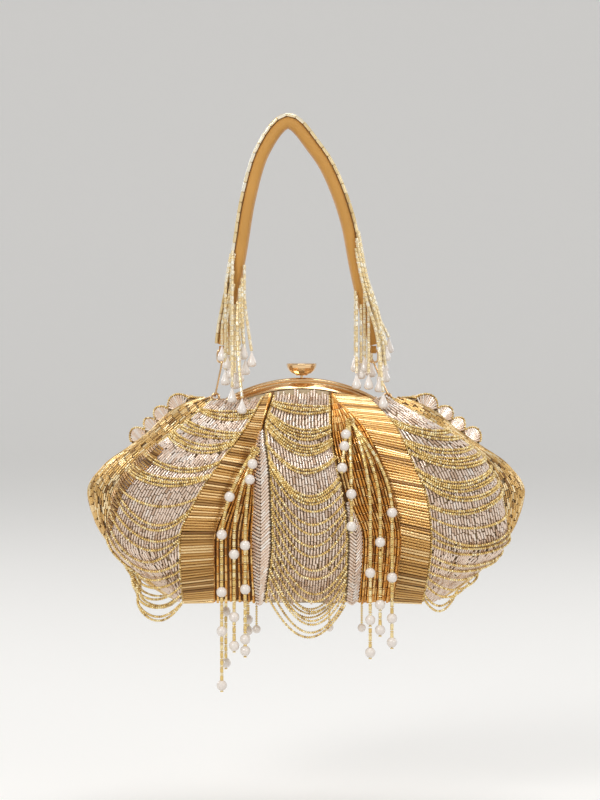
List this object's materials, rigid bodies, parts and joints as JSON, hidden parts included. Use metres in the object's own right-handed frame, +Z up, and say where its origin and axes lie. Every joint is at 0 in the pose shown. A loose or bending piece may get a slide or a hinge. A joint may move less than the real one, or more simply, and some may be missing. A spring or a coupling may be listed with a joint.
{
  "type": "beaded frame clutch bag",
  "caption": "Small evening bag with a padded gathered body, an arched metal frame with a push lock, a short clip-on handle and bead fringes; it holds small personal things.",
  "frame": {"origin": "underside of the handle's crown, where a hand or a hook carries the bag", "axes": "+X to the viewer's right along the frame, -Y towards the front face with the push knob, +Z up"},
  "size_m": [0.269, 0.1056, 0.3517],
  "materials": {
    "satin": "amber-gold satin, semi-gloss",
    "gold_metal": "polished gold plate",
    "silver_beads": "cloth covered with silver bugle and seed beads",
    "gold_beads": "cloth and thread with gold seed beads",
    "bronze_beads": "cloth covered with bronze bugle beads",
    "lining_cloth": "matt lining cloth"
  },
  "bodies": {
    "handle": {"handle_strap": "satin", "handle_facing": "silver_beads", "strap_tab_left": "satin", "strap_tab_right": "satin", "oval_ring_left": "gold_metal", "oval_ring_right": "gold_metal", "clip_left": "gold_metal", "clip_right": "gold_metal", "strap_fringe_left": "silver_beads", "strap_fringe_right": "silver_beads"},
    "gate_left": {"clip_gate_left": "gold_metal"},
    "gate_right": {"clip_gate_right": "gold_metal"},
    "pouch": {"base_panel": "gold_beads", "end_gore_left": "bronze_beads", "end_gore_right": "bronze_beads", "frame_ring_left": "gold_metal", "frame_ring_right": "gold_metal", "front_herringbone_left": "silver_beads", "front_herringbone_right": "silver_beads", "front_ladder_band_left": "gold_beads", "front_ladder_band_right": "gold_beads", "front_lobe_centre": "silver_beads", "front_lobe_left": "silver_beads", "front_lobe_right": "silver_beads", "front_pleat_fringe_left": "gold_beads", "front_pleat_fringe_right": "gold_beads", "front_pleat_insert_left": "gold_beads", "front_pleat_insert_right": "gold_beads", "front_swags_centre": "gold_beads", "front_swags_left": "gold_beads", "front_swags_right": "gold_beads", "hinge_pin_left": "gold_metal", "hinge_pin_right": "gold_metal", "lining": "lining_cloth", "lock_keeper": "gold_metal", "rear_frame": "gold_metal", "rear_herringbone_left": "silver_beads", "rear_herringbone_right": "silver_beads", "rear_ladder_band_left": "gold_beads", "rear_ladder_band_right": "gold_beads", "rear_lobe_centre": "silver_beads", "rear_lobe_left": "silver_beads", "rear_lobe_right": "silver_beads", "rear_pleat_fringe_left": "gold_beads", "rear_pleat_fringe_right": "gold_beads", "rear_pleat_insert_left": "gold_beads", "rear_pleat_insert_right": "gold_beads", "rear_ruffle_left": "silver_beads", "rear_ruffle_right": "silver_beads", "rear_swags_centre": "gold_beads", "rear_swags_left": "gold_beads", "rear_swags_right": "gold_beads"},
    "front_half": {"front_frame": "gold_metal", "front_lobe_top_left": "silver_beads", "front_lobe_top_centre": "silver_beads", "front_lobe_top_right": "silver_beads"},
    "knob": {"lock_knob": "gold_metal"}
  },
  "joints": [
    {"name": "handle_swing", "type": "hinge", "parent": "handle", "child": "pouch", "pos_m": [0.0084, 0, -0.1633], "axis": [1, 0, 0], "range_deg": [-85, 85], "deforming": ["strap_fringe_left", "strap_fringe_right"]},
    {"name": "frame_open", "type": "hinge", "parent": "pouch", "child": "front_half", "pos_m": [0.0084, 0, -0.186], "axis": [1, 0, 0], "range_deg": [0, 60], "deforming": ["front_swags_left", "front_swags_centre", "front_swags_right", "front_ladder_band_left", "front_ladder_band_right", "front_pleat_insert_left", "front_pleat_insert_right", "front_lobe_top_left", "front_lobe_top_centre", "front_lobe_top_right", "front_pleat_fringe_left", "front_pleat_fringe_right"]},
    {"name": "knob_press", "type": "slide", "parent": "front_half", "child": "knob", "axis": [0, 0, -1], "range_m": [0, 0.0012], "stiffness_N_per_m": 400, "springref_m": -0.002},
    {"name": "gate_left_open", "type": "hinge", "parent": "handle", "child": "gate_left", "pos_m": [-0.04156, -0.0024, -0.14718], "axis": [1, 0, 0], "range_deg": [0, 12], "stiffness_Nm_per_rad": 0.002, "springref_deg": -11.46},
    {"name": "gate_right_open", "type": "hinge", "parent": "handle", "child": "gate_right", "pos_m": [0.05434, -0.0024, -0.14696], "axis": [1, 0, 0], "range_deg": [0, 12], "stiffness_Nm_per_rad": 0.002, "springref_deg": -11.46}
  ]
}
